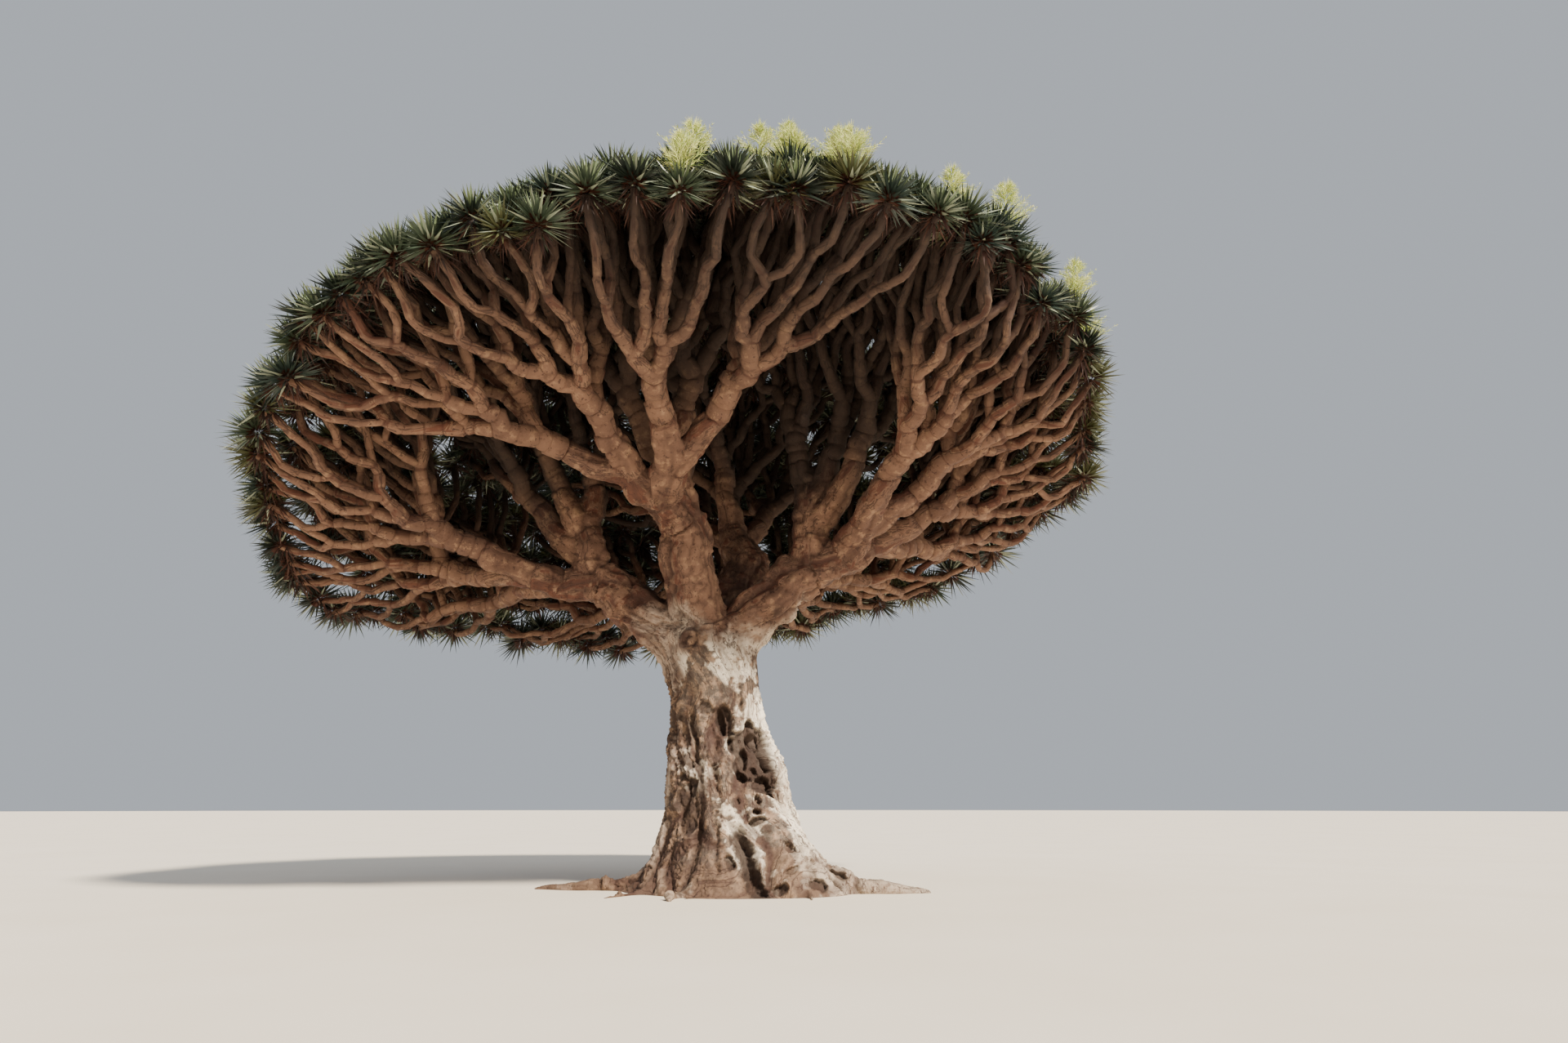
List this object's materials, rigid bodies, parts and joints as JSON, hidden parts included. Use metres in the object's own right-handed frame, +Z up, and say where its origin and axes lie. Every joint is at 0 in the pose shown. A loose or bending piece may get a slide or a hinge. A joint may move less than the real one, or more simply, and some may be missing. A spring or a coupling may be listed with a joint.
{
  "type": "dragon blood tree",
  "caption": "Old dragon blood tree with a short flared bare trunk, boughs that fork again and again like ribs, and a wide shallow umbrella crown of sword-leaved rosettes.",
  "frame": {"origin": "middle of the flat cut under the trunk, at ground level", "axes": "+Z up, -Y towards the side that the picture shows, +X to the right in it"},
  "size_m": [9.9401, 9.4149, 7.3452],
  "materials": {
    "trunk_bark": "matte",
    "bough_bark": "matte",
    "foliage": "satin"
  },
  "bodies": {
    "root": {"trunk": "trunk_bark", "left_bough_1": "bough_bark", "left_foliage_1": "foliage", "left_bough_2": "bough_bark", "left_foliage_2": "foliage", "left_bough_3": "bough_bark", "left_foliage_3": "foliage", "left_bough_4": "bough_bark", "left_foliage_4": "foliage", "left_bough_5": "bough_bark", "left_foliage_5": "foliage", "left_bough_6": "bough_bark", "left_foliage_6": "foliage", "front_bough_1": "bough_bark", "front_foliage_1": "foliage", "front_bough_2": "bough_bark", "front_foliage_2": "foliage", "front_bough_3": "bough_bark", "front_foliage_3": "foliage", "front_bough_4": "bough_bark", "front_foliage_4": "foliage", "front_bough_5": "bough_bark", "front_foliage_5": "foliage", "front_bough_6": "bough_bark", "front_foliage_6": "foliage", "front_bough_7": "bough_bark", "front_foliage_7": "foliage", "right_bough_1": "bough_bark", "right_foliage_1": "foliage", "right_bough_2": "bough_bark", "right_foliage_2": "foliage", "right_bough_3": "bough_bark", "right_foliage_3": "foliage", "right_bough_4": "bough_bark", "right_foliage_4": "foliage", "right_bough_5": "bough_bark", "right_foliage_5": "foliage", "right_bough_6": "bough_bark", "right_foliage_6": "foliage", "right_bough_7": "bough_bark", "right_foliage_7": "foliage", "back_bough_1": "bough_bark", "back_foliage_1": "foliage", "back_bough_2": "bough_bark", "back_foliage_2": "foliage", "back_bough_3": "bough_bark", "back_foliage_3": "foliage", "back_bough_4": "bough_bark", "back_foliage_4": "foliage", "back_bough_5": "bough_bark", "back_foliage_5": "foliage", "back_bough_6": "bough_bark", "back_foliage_6": "foliage", "back_bough_7": "bough_bark", "back_foliage_7": "foliage", "back_bough_8": "bough_bark", "back_foliage_8": "foliage"}
  },
  "joints": []
}
